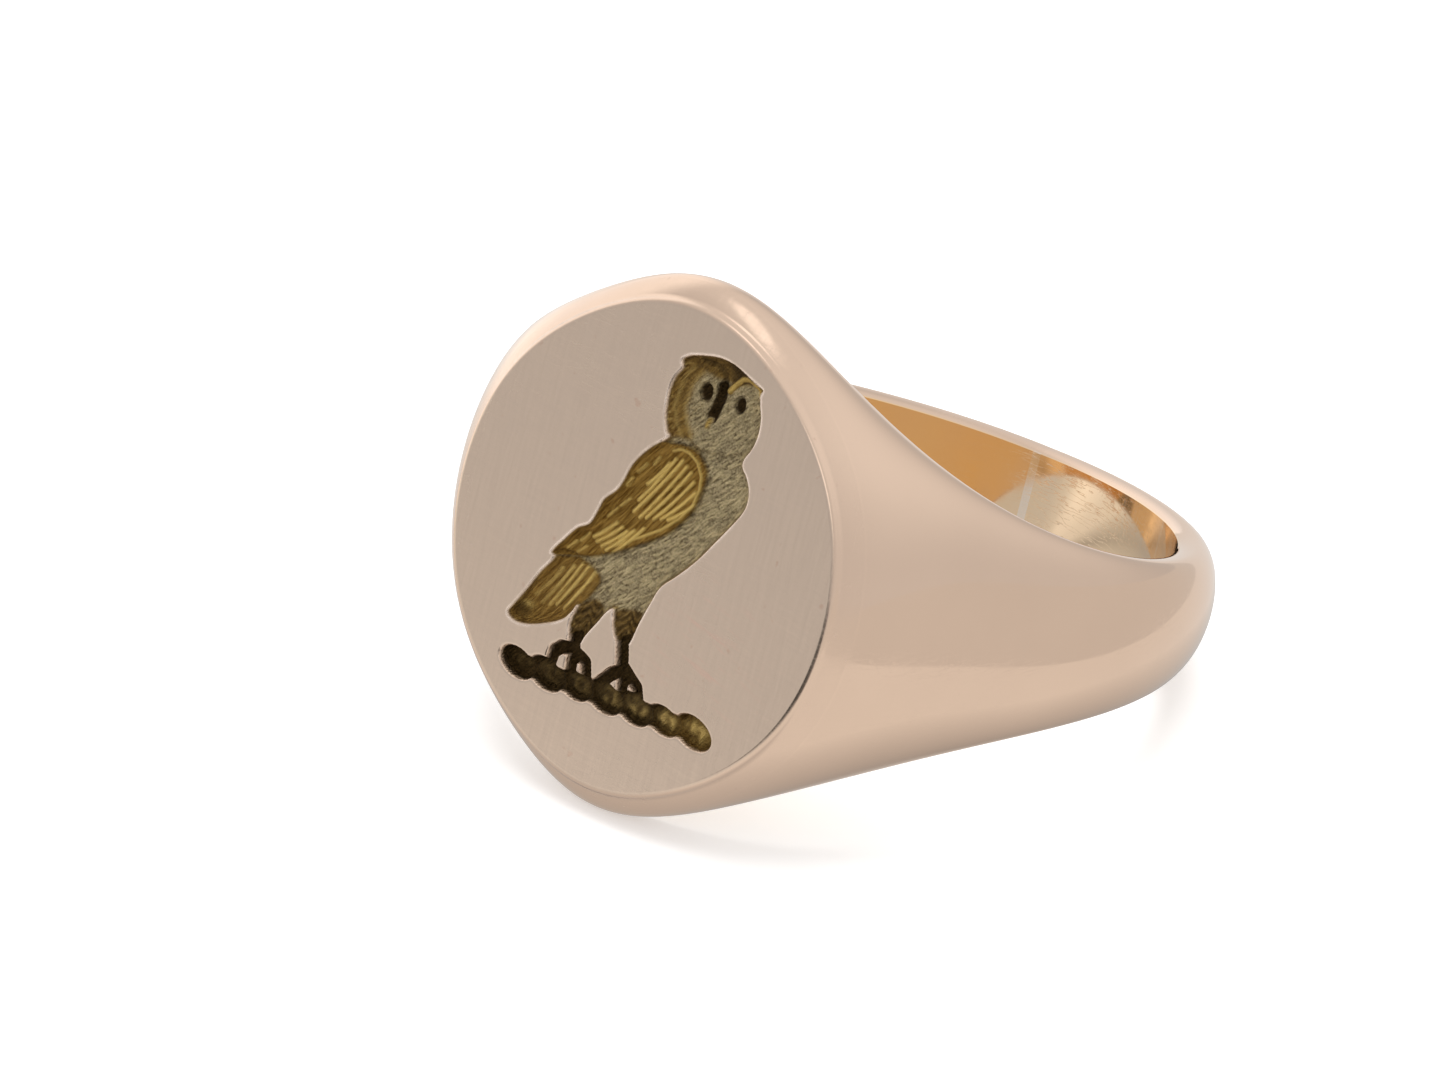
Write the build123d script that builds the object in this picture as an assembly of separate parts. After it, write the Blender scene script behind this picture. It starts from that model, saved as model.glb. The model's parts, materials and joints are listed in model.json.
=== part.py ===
from build123d import *
import math
import os

# Gentleman's oval signet ring with an engraved crest, lying on its side.
# Units are millimetres.
# The ring is laid out in its own working frame first: the bore runs along Z,
# the flat face looks along -Y and X runs across the face.
# At the end every piece is tipped about X so that the ring lies at rest, +Z up.

# ---- driving dimensions ------------------------------------------------------
bore_radius = 9.0           # finger bore, 18 mm inside diameter
face_distance = 10.4        # bore axis to the flat face
head_half_width = 7.6       # half the head's greatest width along the finger
shank_half_width = 1.5      # half the shank's width at the back
shoulder_spread = 31.5      # degrees, how quickly the head narrows to the shank
shank_radius = 10.4         # outside radius of the plain shank
shoulder_rise = 1.8         # extra radius where the shoulders stand proudest
shoulder_angle = 27.0       # degrees from the face centre to that place
shoulder_reach = 23.0       # degrees over which the extra radius fades
crest_offset = 0.5          # widest line of each section stands this far off the bore
edge_drop = 0.2             # how far the bore edge is eased below the widest line
edge_sweep = 65.0           # degrees of the eased bore edge that are kept

table_thickness = 0.65      # soldered-on table plate that takes the engraving
solder_thickness = 0.05     # hard solder under the table
engraving_depth = 0.4       # depth of the crest below the face

back_joint = 180.0          # hoop angle where the body ends, at the middle of the back
side_joint = 230.0          # hoop angle where it begins again beyond the sizing piece
joint_solder = 1.8          # degrees of hoop taken by each sizing seam

body_sections = 32          # sections along the forged body
insert_sections = 9         # sections along the sizing piece
outline_points = 25         # points on each section's outer curve
under_bore = 0.6            # section overlap inside the bore before it is cut

# ---- derived values ----------------------------------------------------------
crest_radius = bore_radius + crest_offset
edge_turn = math.radians(edge_sweep)
width_change = head_half_width - shank_half_width
lay_angle = math.degrees(math.atan(width_change / (2 * crest_radius)))


def from_face(angle):
    """Hoop angle away from the middle of the face, 0 to 180 degrees."""
    return abs((angle + 180) % 360 - 180)


def half_width(angle):
    """Half width of the ring along the finger at a hoop angle in degrees."""
    fade = 1 / math.cosh(from_face(angle) / shoulder_spread)
    return shank_half_width + width_change * fade


def outer_radius(angle):
    """Outside radius of the uncut ring at a hoop angle in degrees."""
    near = math.exp(-(((from_face(angle) - shoulder_angle) / shoulder_reach) ** 2))
    far = math.exp(-(((from_face(angle) + shoulder_angle) / shoulder_reach) ** 2))
    return shank_radius + shoulder_rise * (near + far)


def hoop_point(angle, radius, height):
    """Point at a hoop angle, a radius from the bore axis and a height along it."""
    turn = math.radians(angle)
    return (radius * math.sin(turn), -radius * math.cos(turn), height)


def section(angle):
    """Closed D section: half ellipse outside, eased edges, straight inside."""
    width = half_width(angle)
    rise = outer_radius(angle) - crest_radius
    edge_radius = crest_radius - crest_offset * math.sin(edge_turn)
    edge_height = width - edge_drop * (1 - math.cos(edge_turn))
    upper = []
    for step in range(1, 4):
        turn = edge_turn * step / 3
        radius = crest_radius - crest_offset * math.sin(turn)
        height = width - edge_drop * (1 - math.cos(turn))
        upper.append((radius, height))
    curve = [(radius, -height) for radius, height in reversed(upper)]
    for step in range(outline_points):
        turn = math.radians(-90 + 180 * step / (outline_points - 1))
        curve.append((crest_radius + rise * math.cos(turn), width * math.sin(turn)))
    curve += upper
    slope = edge_drop * math.sin(edge_turn) / (crest_offset * math.cos(edge_turn))
    inner_radius = bore_radius - under_bore
    inner_height = edge_height - slope * (edge_radius - inner_radius)
    outer = Spline(*[hoop_point(angle, radius, height) for radius, height in curve])
    top_outer = hoop_point(angle, edge_radius, edge_height)
    top_inner = hoop_point(angle, inner_radius, inner_height)
    low_inner = hoop_point(angle, inner_radius, -inner_height)
    low_outer = hoop_point(angle, edge_radius, -edge_height)
    sides = [Line(top_outer, top_inner), Line(top_inner, low_inner), Line(low_inner, low_outer)]
    return Face(Wire([outer] + sides))


def hoop_span(first, last, count):
    """Solid span of the hoop between two angles, bored to the finger size."""
    step = (last - first) / (count - 1)
    faces = [section(first + step * index) for index in range(count)]
    span = loft(faces)
    bore = Cylinder(bore_radius, 6 * head_half_width)
    return span - bore


def slab(low, high):
    """Block that holds everything between two distances in front of the bore axis."""
    size = 6 * bore_radius
    depth = high - low
    return Pos(0, -(low + high) / 2, 0) * Box(size, depth, size)


def engraving(outline, depth):
    """Closed smooth outline on the face, cut straight in to the given depth."""
    points = [(x, -face_distance - 0.5, z) for x, z in outline]
    edge = Spline(*points, periodic=True)
    return extrude(Face(Wire([edge])), amount=depth + 0.5, dir=(0, 1, 0))


# ---- crest: an owl standing on a torse ----------------------------------------
# Outlines in millimetres on the face, x across and z along the finger.
owl_outline = [
    (-0.1, 5.42), (0.1, 5.6), (0.35, 5.7), (1.0, 5.86), (1.55, 5.85), (2.05, 5.7), (2.5, 5.55),
    (2.7, 5.46), (2.67, 5.28), (2.73, 5.02), (2.85, 4.68), (2.88, 4.23), (2.79, 3.81),
    (2.62, 3.47), (2.64, 3.25), (2.82, 3.06), (3.0, 2.75), (3.06, 2.39), (2.97, 2.03),
    (2.7, 1.56), (2.35, 1.0), (1.91, 0.32), (1.4, -0.3), (0.96, -0.79), (0.75, -1.35),
    (0.56, -1.95), (0.44, -2.48), (0.34, -2.68), (0.15, -2.78), (-0.05, -2.72), (-0.25, -2.44),
    (-0.36, -2.1), (-0.4, -1.9), (-0.56, -2.02), (-0.8, -2.44), (-1.08, -2.92), (-1.18, -3.17),
    (-1.42, -3.3), (-1.62, -3.12), (-1.72, -2.78), (-1.66, -2.42), (-1.6, -2.22), (-1.74, -2.5),
    (-1.95, -2.76), (-2.42, -3.04), (-3.05, -3.3), (-3.55, -3.35), (-3.82, -3.18), (-3.66, -2.84),
    (-3.35, -2.29), (-3.04, -1.69), (-2.72, -1.2), (-2.84, -1.05), (-2.53, -0.58), (-2.18, -0.12),
    (-1.82, 0.14), (-1.66, 0.55), (-1.54, 0.93), (-1.23, 1.28), (-1.08, 1.57), (-0.86, 2.22),
    (-0.44, 2.8), (0.03, 3.24), (-0.06, 3.36), (-0.21, 3.73), (-0.28, 4.18), (-0.28, 4.57),
    (-0.19, 4.93), (-0.04, 5.2),
]
torse_centre = (-0.1, -4.4)     # middle of the twisted torse
torse_pitch = 1.08              # spacing of its strands
torse_strands = 7
strand_length = 0.66            # half length of one strand
strand_breadth = 0.40           # half breadth of one strand
strand_lean = -14.0             # degrees each strand leans
shin_breadth = 0.18             # half breadth of each shin
toe_breadth = 0.13              # half breadth of each toe
left_leg = [(-1.5, -3.0), (-1.35, -3.5)]
left_toes = [(-2.05, -3.95), (-1.15, -4.0), (-0.7, -3.95)]
right_leg = [(0.1, -2.6), (0.3, -3.3)]
right_toes = [(-0.05, -4.0), (0.55, -4.0), (1.2, -4.05)]


def bar(start, end, breadth, depth):
    """Round-ended groove between two places on the face."""
    dx = end[0] - start[0]
    dz = end[1] - start[1]
    length = math.hypot(dx, dz)
    groove = SlotCenterToCenter(length, 2 * breadth)
    solid = extrude(groove, amount=depth + 0.5)
    lean = math.degrees(math.atan2(dz, dx))
    middle = ((start[0] + end[0]) / 2, (start[1] + end[1]) / 2)
    place = Pos(middle[0], depth - face_distance, middle[1])
    return place * Rot(90, 0, 0) * Rot(0, 0, lean) * solid


def crest_cutter():
    """All the hollows of the crest as one cutting solid."""
    cutter = engraving(owl_outline, engraving_depth)
    for leg, toes in ((left_leg, left_toes), (right_leg, right_toes)):
        cutter += bar(leg[0], leg[1], shin_breadth, engraving_depth)
        for toe in toes:
            cutter += bar(leg[1], toe, toe_breadth, engraving_depth)
    first = torse_centre[0] - torse_pitch * (torse_strands - 1) / 2
    lean = math.radians(strand_lean)
    for index in range(torse_strands):
        x = first + torse_pitch * index
        reach = strand_length - strand_breadth / 2
        dx = reach * math.cos(lean)
        dz = reach * math.sin(lean)
        start = (x - dx, torse_centre[1] - dz)
        end = (x + dx, torse_centre[1] + dz)
        cutter += bar(start, end, strand_breadth, engraving_depth)
    return cutter


# ---- pieces ---------------------------------------------------------------------
forging = hoop_span(side_joint - 360, back_joint, body_sections)
table_floor = face_distance - table_thickness
solder_floor = table_floor - solder_thickness
far = 3 * bore_radius

signet_table = (forging & slab(table_floor, face_distance)) - crest_cutter()
table_solder = forging & slab(solder_floor, table_floor)
ring_body = forging - slab(solder_floor, far)

insert_start = back_joint + joint_solder
insert_end = side_joint - joint_solder
sizing_piece = hoop_span(insert_start, insert_end, insert_sections)
sizing_solder_back = hoop_span(back_joint, insert_start, 2)
sizing_solder_side = hoop_span(insert_end, side_joint, 2)

pieces = {
    "signet_table": signet_table,
    "table_solder": table_solder,
    "ring_body": ring_body,
    "sizing_piece": sizing_piece,
    "sizing_solder_back": sizing_solder_back,
    "sizing_solder_side": sizing_solder_side,
}

# ---- lay the ring on its side, centred, resting on z = 0 ------------------------
laid = {name: Rot(-lay_angle, 0, 0) * piece for name, piece in pieces.items()}
box = Compound(children=[Compound(piece.solids()) for piece in laid.values()]).bounding_box()
shift = Pos(-(box.min.X + box.max.X) / 2, -(box.min.Y + box.max.Y) / 2, -box.min.Z)

os.makedirs("parts", exist_ok=True)
for name, piece in laid.items():
    placed = shift * piece
    solid = placed.solids()[0] if len(placed.solids()) == 1 else Compound(placed.solids())
    solid.label = name
    export_step(solid, "parts/" + name + ".step")

print("lay angle", round(lay_angle, 3))
print("shift", shift.position)
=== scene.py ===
import json
import math
from types import SimpleNamespace

import bmesh
import bpy
import numpy as np
from mathutils import Matrix, Vector, geometry


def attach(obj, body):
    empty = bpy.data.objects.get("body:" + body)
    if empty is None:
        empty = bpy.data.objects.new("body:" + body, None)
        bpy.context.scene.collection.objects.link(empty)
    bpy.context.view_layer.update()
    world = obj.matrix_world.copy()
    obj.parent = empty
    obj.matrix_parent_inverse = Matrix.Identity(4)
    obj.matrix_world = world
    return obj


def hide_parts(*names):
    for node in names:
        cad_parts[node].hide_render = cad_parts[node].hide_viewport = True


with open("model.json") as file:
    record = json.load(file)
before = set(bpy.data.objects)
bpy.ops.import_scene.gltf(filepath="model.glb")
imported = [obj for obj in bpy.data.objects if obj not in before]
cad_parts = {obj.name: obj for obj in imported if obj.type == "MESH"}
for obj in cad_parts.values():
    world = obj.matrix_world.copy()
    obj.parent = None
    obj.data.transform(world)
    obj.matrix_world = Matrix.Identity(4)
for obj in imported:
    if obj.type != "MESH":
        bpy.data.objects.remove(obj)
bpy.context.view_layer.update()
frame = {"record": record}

# ---- ring dimensions, millimetres, the same as the CAD model's ------------------
# Working frame: bore along Z, flat face looking along -Y, X across the face.
BORE_RADIUS = 9.0
FACE_DISTANCE = 10.4
HEAD_HALF_WIDTH = 7.6
SHANK_HALF_WIDTH = 1.5
SHOULDER_SPREAD = 31.5
SHANK_RADIUS = 10.4
SHOULDER_RISE = 1.8
SHOULDER_ANGLE = 27.0
SHOULDER_REACH = 23.0
CREST_OFFSET = 0.5
EDGE_DROP = 0.2
EDGE_SWEEP = 65.0
TABLE_THICKNESS = 0.65
SOLDER_THICKNESS = 0.05
BACK_JOINT = 180.0
SIDE_JOINT = 230.0
JOINT_SOLDER = 1.8

CREST_RADIUS = BORE_RADIUS + CREST_OFFSET
WIDTH_CHANGE = HEAD_HALF_WIDTH - SHANK_HALF_WIDTH
LAY_ANGLE = math.atan(WIDTH_CHANGE / (2 * CREST_RADIUS))
TABLE_FLOOR = FACE_DISTANCE - TABLE_THICKNESS
SOLDER_FLOOR = TABLE_FLOOR - SOLDER_THICKNESS

SHARP_DEGREES = 32.0
TABLE_SHARP_DEGREES = 75.0
WELD_METRES = 2e-8

mounts = {mount["name"]: mount for mount in frame["record"]["mounts"]}
BORE_CENTRE = np.array(mounts["finger_bore"]["pos_m"]) * 1000


def from_face(angle):
    """Hoop angle away from the middle of the face, 0 to 180 degrees."""
    return np.abs((np.asarray(angle) + 180.0) % 360.0 - 180.0)


def half_width(angle):
    """Half width along the finger at a hoop angle in degrees."""
    return SHANK_HALF_WIDTH + WIDTH_CHANGE / np.cosh(from_face(angle) / SHOULDER_SPREAD)


def outer_radius(angle):
    """Outside radius of the uncut ring at a hoop angle in degrees."""
    near = np.exp(-(((from_face(angle) - SHOULDER_ANGLE) / SHOULDER_REACH) ** 2))
    far = np.exp(-(((from_face(angle) + SHOULDER_ANGLE) / SHOULDER_REACH) ** 2))
    return SHANK_RADIUS + SHOULDER_RISE * (near + far)


def lay(points):
    """Working-frame millimetres to the resting ring's frame in metres."""
    p = np.asarray(points, dtype=float)
    c, s = math.cos(LAY_ANGLE), math.sin(LAY_ANGLE)
    laid = np.stack([p[:, 0], p[:, 1] * c + p[:, 2] * s, p[:, 2] * c - p[:, 1] * s], 1)
    return (laid + BORE_CENTRE) * 0.001


def unlay(points):
    """Resting frame in metres back to working-frame millimetres."""
    p = np.asarray(points, dtype=float) * 1000 - BORE_CENTRE
    c, s = math.cos(LAY_ANGLE), math.sin(LAY_ANGLE)
    return np.stack([p[:, 0], p[:, 1] * c - p[:, 2] * s, p[:, 2] * c + p[:, 1] * s], 1)


def make_mesh(name, points, faces, sharp_degrees=SHARP_DEGREES):
    """Object from working-frame points, smooth except across sharp edges."""
    mesh = bpy.data.meshes.new(name)
    mesh.from_pydata([tuple(p) for p in lay(points)], [], faces)
    mesh.validate()
    shade_smooth(mesh, sharp_degrees)
    piece = bpy.data.objects.new(name, mesh)
    bpy.context.scene.collection.objects.link(piece)
    return piece


def bisect(low, high, inside, steps=50):
    """Vectorised root search: inside(value) is true below the root."""
    for _ in range(steps):
        middle = (low + high) / 2
        keep = inside(middle)
        low = np.where(keep, middle, low)
        high = np.where(keep, high, middle)
    return (low + high) / 2


# ---- hoop pieces: body, sizing piece and its two seams ---------------------------
OUTER_STEPS = 56
EASE_STEPS = 6
BORE_STEPS = 14


def section_loop(angle, cut=None):
    """Closed section at one hoop angle, as radius and height, cut flat if asked."""
    width = float(half_width(angle))
    rise = float(outer_radius(angle)) - CREST_RADIUS
    turn = math.radians(angle)
    start = 0.0
    if cut is not None and abs(angle) < 80:
        share = (cut / math.cos(turn) - CREST_RADIUS) / rise
        if share < 1:
            start = math.acos(max(share, -1))
    spread = np.linspace(0, 1, OUTER_STEPS) ** 0.9
    upper = start + (math.pi / 2 - start) * spread
    arc_r = CREST_RADIUS + rise * np.cos(upper)
    arc_z = width * np.sin(upper)
    ease = np.radians(EDGE_SWEEP) * np.arange(1, EASE_STEPS + 1) / EASE_STEPS
    ease_r = CREST_RADIUS - CREST_OFFSET * np.sin(ease)
    ease_z = width - EDGE_DROP * (1 - np.cos(ease))
    slope = EDGE_DROP * math.sin(ease[-1]) / (CREST_OFFSET * math.cos(ease[-1]))
    edge_z = ease_z[-1] - slope * (ease_r[-1] - BORE_RADIUS)
    bore_z = np.linspace(edge_z, -edge_z, BORE_STEPS)
    bore_r = np.full(BORE_STEPS, BORE_RADIUS)
    r = np.concatenate([arc_r, ease_r, bore_r, ease_r[::-1], arc_r[::-1]])
    z = np.concatenate([arc_z, ease_z, bore_z, -ease_z[::-1], -arc_z[::-1]])
    return r, z


def hoop_mesh(name, angles, cut=None):
    """Solid span of the hoop over the given angles."""
    rings = []
    for angle in angles:
        r, z = section_loop(angle, cut)
        turn = math.radians(angle)
        rings.append(np.stack([r * math.sin(turn), -r * math.cos(turn), z], 1))
    count = len(rings[0])
    points = np.concatenate(rings)
    faces = []
    for i in range(len(rings) - 1):
        for j in range(count):
            k = (j + 1) % count
            faces.append((i * count + j, (i + 1) * count + j, (i + 1) * count + k, i * count + k))
    faces.append(tuple(range(count)))
    last = (len(rings) - 1) * count
    faces.append(tuple(last + j for j in reversed(range(count))))
    piece = make_mesh(name, points, faces)
    face_outwards(piece, WELD_METRES)
    shade_smooth(piece.data, SHARP_DEGREES)
    coordinates = np.empty(len(piece.data.vertices) * 3)
    piece.data.vertices.foreach_get("co", coordinates)
    reach = np.hypot(*unlay(coordinates.reshape(-1, 3))[:, :2].T)
    add_values(piece, "bore", np.clip((BORE_RADIUS + 0.04 - reach) / 0.03, 0, 1))
    return piece


def add_values(piece, name, values):
    """Store one number per vertex for the materials to read."""
    layer = piece.data.attributes.new(name, "FLOAT", "POINT")
    layer.data.foreach_set("value", np.asarray(values, dtype=float))


def face_outwards(piece, weld=0.0):
    """Turn every face outwards, after merging points closer than weld if it is set."""
    shape = bmesh.new()
    shape.from_mesh(piece.data)
    if weld:
        bmesh.ops.remove_doubles(shape, verts=shape.verts, dist=weld)
        bmesh.ops.dissolve_degenerate(shape, edges=shape.edges, dist=weld)
    bmesh.ops.recalc_face_normals(shape, faces=shape.faces)
    shape.to_mesh(piece.data)
    shape.free()


def shade_smooth(mesh, sharp_degrees):
    """Smooth shading except across sharp edges."""
    mesh.polygons.foreach_set("use_smooth", [True] * len(mesh.polygons))
    mesh.set_sharp_from_angle(angle=math.radians(sharp_degrees))


def cut_reach(cut):
    """Hoop angle where a flat cut at this distance runs out of the ring."""

    def inside(angle):
        return outer_radius(angle) * np.cos(np.radians(angle)) > cut

    return float(bisect(np.array(10.0), np.array(60.0), inside))


def body_angles():
    """Hoop angles for the body, close together where the flat cut runs out."""
    reach = cut_reach(SOLDER_FLOOR)
    cut_part = reach * np.sin(np.linspace(0, math.pi / 2, 60))
    free = reach + (BACK_JOINT - reach) * np.linspace(0, 1, 190)[1:] ** 1.4
    near = np.concatenate([cut_part, free])
    far_end = 360 - SIDE_JOINT
    far = np.append(near[near < far_end - 0.3], far_end)
    return np.concatenate([-far[:0:-1], near])


# ---- crest outlines on the face, millimetres --------------------------------------
OWL = [
    (-0.1, 5.42), (0.1, 5.6), (0.35, 5.7), (1.0, 5.86), (1.55, 5.85), (2.05, 5.7), (2.5, 5.55),
    (2.7, 5.46), (2.67, 5.28), (2.73, 5.02), (2.85, 4.68), (2.88, 4.23), (2.79, 3.81),
    (2.62, 3.47), (2.64, 3.25), (2.82, 3.06), (3.0, 2.75), (3.06, 2.39), (2.97, 2.03),
    (2.7, 1.56), (2.35, 1.0), (1.91, 0.32), (1.4, -0.3), (0.96, -0.79), (0.75, -1.35),
    (0.56, -1.95), (0.44, -2.48), (0.34, -2.68), (0.15, -2.78), (-0.05, -2.72), (-0.25, -2.44),
    (-0.36, -2.1), (-0.4, -1.9), (-0.56, -2.02), (-0.8, -2.44), (-1.08, -2.92), (-1.18, -3.17),
    (-1.42, -3.3), (-1.62, -3.12), (-1.72, -2.78), (-1.66, -2.42), (-1.6, -2.22), (-1.74, -2.5),
    (-1.95, -2.76), (-2.42, -3.04), (-3.05, -3.3), (-3.55, -3.35), (-3.82, -3.18), (-3.66, -2.84),
    (-3.35, -2.29), (-3.04, -1.69), (-2.72, -1.2), (-2.84, -1.05), (-2.53, -0.58), (-2.18, -0.12),
    (-1.82, 0.14), (-1.66, 0.55), (-1.54, 0.93), (-1.23, 1.28), (-1.08, 1.57), (-0.86, 2.22),
    (-0.44, 2.8), (0.03, 3.24), (-0.06, 3.36), (-0.21, 3.73), (-0.28, 4.18), (-0.28, 4.57),
    (-0.19, 4.93), (-0.04, 5.2),
]
WING = [
    (0.1, 3.08), (0.46, 3.13), (0.88, 3.07), (1.24, 2.82), (1.37, 2.52), (1.34, 2.05), (1.18, 1.45),
    (0.64, 0.68), (-0.32, -0.06), (-1.31, -0.66), (-2.05, -0.97), (-2.95, -1.15), (-2.9, -0.7),
    (-2.4, -0.1), (-1.9, 0.3), (-1.7, 1.2), (-1.1, 2.2), (-0.5, 3.0),
]
TAIL = [
    (-2.6, -0.95), (-1.75, -1.05), (-1.25, -1.35), (-1.45, -1.95), (-1.7, -2.45), (-1.9, -2.9),
    (-3.0, -3.5), (-4.0, -3.5), (-3.9, -2.8), (-3.2, -1.4),
]
LEFT_THIGH = [
    (-1.62, -2.15), (-1.2, -1.9), (-0.72, -2.2), (-0.95, -2.7), (-1.1, -3.4), (-1.7, -3.4), (-1.9, -2.6),
]
RIGHT_THIGH = [
    (-0.45, -1.95), (0.1, -1.75), (0.62, -1.8), (0.6, -2.2), (0.4, -2.9), (-0.1, -2.9), (-0.45, -2.3),
]
SHINS = [[(-1.42, -3.1), (-1.36, -3.45)], [(0.15, -2.65), (0.25, -3.0), (0.34, -3.42)]]
TOES = [
    [(-1.36, -3.40), (-1.78, -3.48), (-1.98, -3.66), (-2.02, -4.1)],
    [(-1.36, -3.44), (-1.34, -3.7), (-1.32, -4.05)],
    [(-1.3, -3.46), (-1.0, -3.56), (-0.88, -3.62), (-0.74, -4.1)],
    [(0.33, -3.4), (0.02, -3.62), (-0.3, -4.0)],
    [(0.38, -3.4), (0.45, -3.65), (0.5, -4.05)],
    [(0.4, -3.3), (0.68, -3.5), (0.95, -3.68), (1.1, -4.05)],
]
BEAK = [(1.16, 5.02), (1.14, 4.72), (1.08, 4.4), (1.02, 4.12)]
BEAK_TIP = [(0.98, 4.0), (0.96, 3.86)]
RIGHT_BROW = [(1.42, 5.0), (1.62, 5.27), (1.82, 5.46), (2.07, 5.54), (2.4, 5.46), (2.68, 5.28)]
LEFT_BROW = [(0.5, 5.58), (0.85, 5.56), (1.1, 5.42), (1.19, 5.2), (1.1, 4.92)]
DISC_EDGE = [(0.5, 5.42), (0.3, 5.2), (0.12, 4.85), (0.05, 4.5), (0.02, 4.1), (0.2, 3.66), (0.42, 3.4)]
CHIN = [(0.4, 3.3), (0.8, 3.12), (1.3, 3.12), (1.8, 3.25), (2.2, 3.4), (2.6, 3.5)]
EYES = [(0.65, 4.72, 0.19, 0.25), (1.83, 4.72, 0.16, 0.22)]  # x, z, half breadth, half height
WING_TOPS = [
    (0.12, 2.5), (0.3, 2.68), (0.52, 2.7), (0.7, 2.6), (0.88, 2.48), (1.03, 2.26), (1.16, 2.0), (1.22, 1.68),
]
WING_LOWS = [
    (-0.42, 1.72), (-0.58, 1.2), (-0.66, 0.85), (-0.42, 0.76), (-0.2, 0.82), (0.04, 0.86), (0.28, 0.94),
    (0.5, 1.0),
]
WING_RIM = [
    (0.17, 2.88), (0.42, 3.0), (0.68, 2.98), (1.0, 2.82), (1.22, 2.5), (1.27, 2.1), (1.15, 1.6),
    (0.85, 1.15), (0.35, 0.66), (-0.3, 0.2), (-0.67, -0.02), (-1.2, -0.42),
]
SECOND_TOPS = [(-1.1, 0.36), (-0.9, 0.3), (-0.72, 0.24), (-0.5, 0.34), (-0.2, 0.5)]
SECOND_LOWS = [(-1.72, -0.26), (-1.6, -0.36), (-1.42, -0.42), (-1.25, -0.48), (-1.02, -0.5)]
COVERT_MARKS = [
    [(-0.55, 2.25), (-0.75, 1.95)], [(-0.85, 1.75), (-0.95, 1.5)], [(-0.85, 1.15), (-1.1, 0.85)],
    [(-0.2, 2.55), (-0.35, 2.3)], [(-1.2, 0.75), (-1.4, 0.45)], [(-1.85, -0.2), (-2.1, -0.5)],
    [(-2.2, -0.55), (-2.45, -0.85)], [(-1.9, -0.6), (-2.15, -0.85)],
]
TAIL_TOPS = [(-2.5, -1.45), (-2.18, -1.28), (-1.92, -1.14), (-1.66, -1.06), (-1.42, -1.15)]
TAIL_LOWS = [(-3.15, -2.45), (-2.95, -2.62), (-2.7, -2.6), (-2.45, -2.5), (-2.15, -2.5)]
TORSE_START = (-3.12, -4.42)
TORSE_END = (3.06, -4.2)
TORSE_LOBES = 7
TORSE_LENGTH = 0.68
TORSE_BREADTH = 0.43
TORSE_LEAN = -15

ENGRAVE_DEPTH = 0.36
WALL_RUN = 0.16
EYE_RAYS = 26
DOWN_COUNT = 620
DOWN_LEAN = 42
DOWN_LENGTH = 0.24
DOWN_SPREAD = 16
DOWN_WIDTH = 0.042
CREST_SEED = 7


def smooth_loop(points, per_span=6):
    """Closed Catmull-Rom curve through the points."""
    p = np.array(points)
    a, b, c, d = np.roll(p, 1, 0), p, np.roll(p, -1, 0), np.roll(p, -2, 0)
    square = 2 * a - 5 * b + 4 * c - d
    cube = 3 * b - a - 3 * c + d
    out = []
    for u in np.arange(per_span) / per_span:
        out.append(0.5 * (2 * b + (c - a) * u + square * u**2 + cube * u**3))
    return np.stack(out, 1).reshape(-1, 2)


def segment_distance(px, pz, start, end):
    """Distance from every place to the nearest of the segments."""
    best = np.full(px.shape, 1e9)
    for (x0, z0), (x1, z1) in zip(start, end):
        dx, dz = x1 - x0, z1 - z0
        t = np.clip(((px - x0) * dx + (pz - z0) * dz) / (dx * dx + dz * dz + 1e-12), 0, 1)
        best = np.minimum(best, (px - x0 - t * dx) ** 2 + (pz - z0 - t * dz) ** 2)
    return np.sqrt(best)


def depth_inside(px, pz, loop):
    """Signed distance to a closed loop, positive inside."""
    start, end = loop, np.roll(loop, -1, 0)
    inside = np.zeros(px.shape, bool)
    for (x0, z0), (x1, z1) in zip(start, end):
        if z0 != z1:
            crosses = (z0 > pz) != (z1 > pz)
            inside ^= crosses & (px < x0 + (pz - z0) * (x1 - x0) / (z1 - z0))
    away = segment_distance(px, pz, start, end)
    return np.where(inside, away, -away)


def stroke_field(px, pz, strokes, width):
    """Rounded ridge field, 1 on the middle of each stroke and 0 a width away."""
    field = np.zeros(px.shape)
    for stroke in strokes:
        s = np.array(stroke)
        low, high = s.min(0) - width, s.max(0) + width
        near = (px > low[0]) & (px < high[0]) & (pz > low[1]) & (pz < high[1])
        if near.any():
            away = segment_distance(px[near], pz[near], s[:-1], s[1:])
            field[near] = np.maximum(field[near], np.clip(1 - (away / width) ** 2, 0, 1))
    return field


def step(value, low, high):
    """Smooth step from 0 at low to 1 at high."""
    t = np.clip((value - low) / (high - low), 0, 1)
    return t * t * (3 - 2 * t)


def bell(distance, width):
    """Soft bump: 1 at no distance, fading over the width."""
    return np.exp(-((distance / width) ** 2))


def oval(px, pz, x, z, wide, tall):
    """Soft oval spot round a place on the face."""
    return np.exp(-(((px - x) / wide) ** 2 + ((pz - z) / tall) ** 2))


def fan(tops, lows, bow):
    """Slightly bowed strokes between two rows of ends."""
    strokes = []
    u = np.linspace(0, 1, 7)[:, None]
    for (x0, z0), (x1, z1) in zip(tops, lows):
        middle = ((x0 + x1) / 2 + bow, (z0 + z1) / 2 - bow)
        points = (1 - u) ** 2 * np.array((x0, z0)) + 2 * u * (1 - u) * np.array(middle)
        points = points + u * u * np.array((x1, z1))
        strokes.append([tuple(p) for p in points])
    return strokes


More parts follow.
